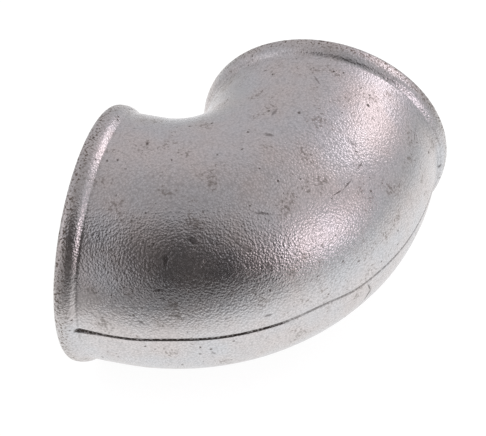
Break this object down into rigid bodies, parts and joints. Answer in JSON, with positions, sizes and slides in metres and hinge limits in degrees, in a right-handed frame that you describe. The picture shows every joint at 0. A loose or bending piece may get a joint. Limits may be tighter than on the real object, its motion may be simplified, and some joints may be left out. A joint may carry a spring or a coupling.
{
  "type": "pipe elbow",
  "caption": "Short right-angle pipe elbow casting with a beaded, internally threaded socket at each end, for turning a threaded pipeline through a right angle.",
  "frame": {"origin": "centre of port A's mouth, on its end face", "axes": "-X out of port A's mouth, +Y out of port B's mouth, +Z square to the plane of both port axes, which is the mould's parting plane"},
  "size_m": [0.1612, 0.1612, 0.1304],
  "materials": {
    "galvanised_iron": "hot-dip galvanised, satin, fine cast grain"
  },
  "bodies": {
    "root": {"elbow_casting": "galvanised_iron"}
  },
  "joints": []
}
